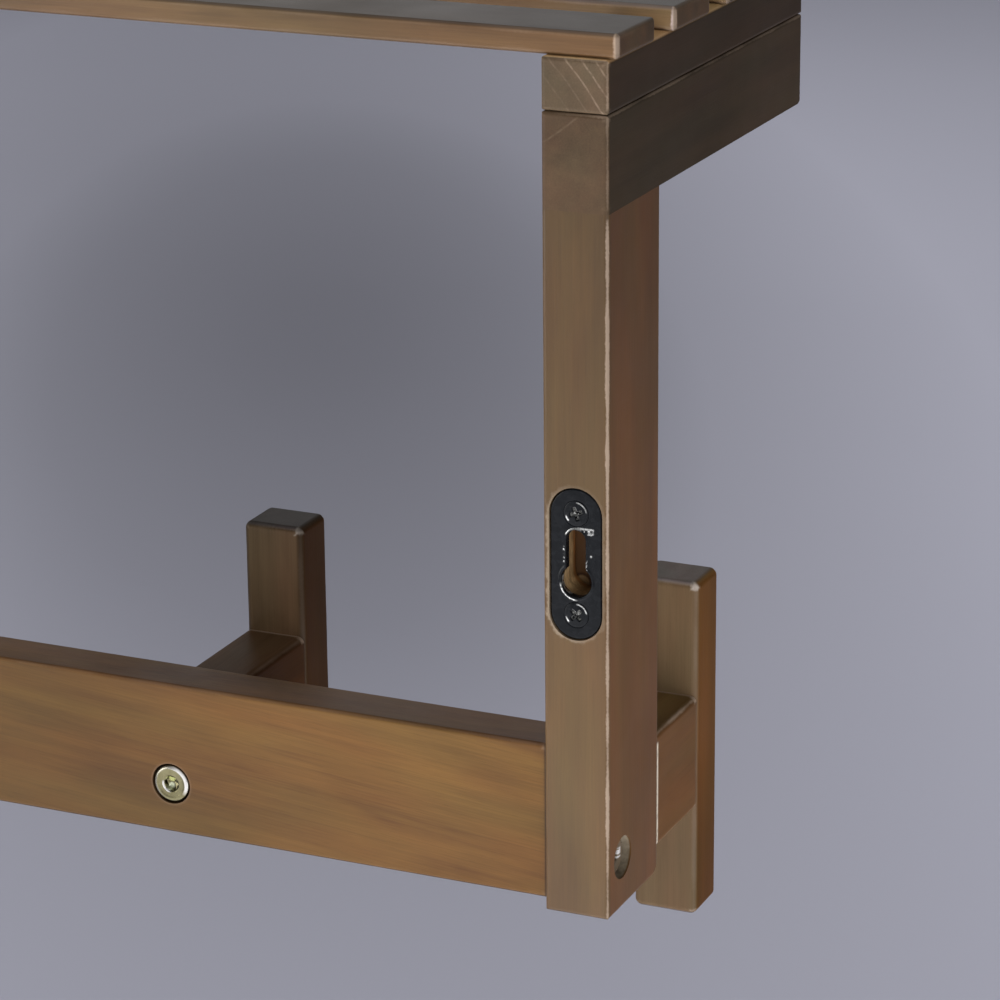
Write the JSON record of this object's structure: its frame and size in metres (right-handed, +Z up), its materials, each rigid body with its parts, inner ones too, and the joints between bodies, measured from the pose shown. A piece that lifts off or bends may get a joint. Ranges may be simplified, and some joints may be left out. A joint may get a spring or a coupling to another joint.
{
  "type": "wall shelf with hooks",
  "caption": "Wall-hung slatted shelf on side frames of post, arm and bearer, with a rail of wooden block hooks below and keyhole hanger plates let into the posts.",
  "frame": {"origin": "on the wall plane, midway between the centres of the round entries of the keyhole plates", "axes": "+X along the shelf, towards its right end as seen from the front; +Y out of the back, into the wall; +Z up"},
  "size_m": [0.518, 0.143, 0.2675],
  "materials": {
    "frame_wood": "satin walnut stain",
    "rail_wood": "satin walnut stain",
    "slat_wood": "satin walnut stain",
    "hook_wood": "satin walnut stain",
    "dowel_wood": "raw beech",
    "black_steel": "black gloss coating",
    "zinc_steel": "bright zinc plate",
    "insert_brass": "plain"
  },
  "bodies": {
    "root": {"post_left": "frame_wood", "post_right": "frame_wood", "arm_left": "frame_wood", "arm_right": "frame_wood", "bearer_left": "frame_wood", "bearer_right": "frame_wood", "rail": "rail_wood", "slat_1": "slat_wood", "slat_2": "slat_wood", "slat_3": "slat_wood", "slat_4": "slat_wood", "hook_block_1": "hook_wood", "hook_block_2": "hook_wood", "hook_block_3": "hook_wood", "hook_block_4": "hook_wood", "hook_block_5": "hook_wood", "hook_neck_1": "hook_wood", "hook_neck_2": "hook_wood", "hook_neck_3": "hook_wood", "hook_neck_4": "hook_wood", "hook_neck_5": "hook_wood", "hanger_plate_left": "black_steel", "hanger_plate_right": "black_steel", "plate_screws": "black_steel", "rail_bolts": "zinc_steel", "rail_inserts": "insert_brass", "hook_bolts": "zinc_steel", "hook_inserts": "insert_brass", "arm_dowels": "dowel_wood", "rail_dowels": "dowel_wood", "hook_dowels": "dowel_wood", "post_hook_dowels": "dowel_wood", "block_dowels": "dowel_wood", "arm_screws": "zinc_steel", "slat_screws": "zinc_steel"}
  },
  "joints": []
}
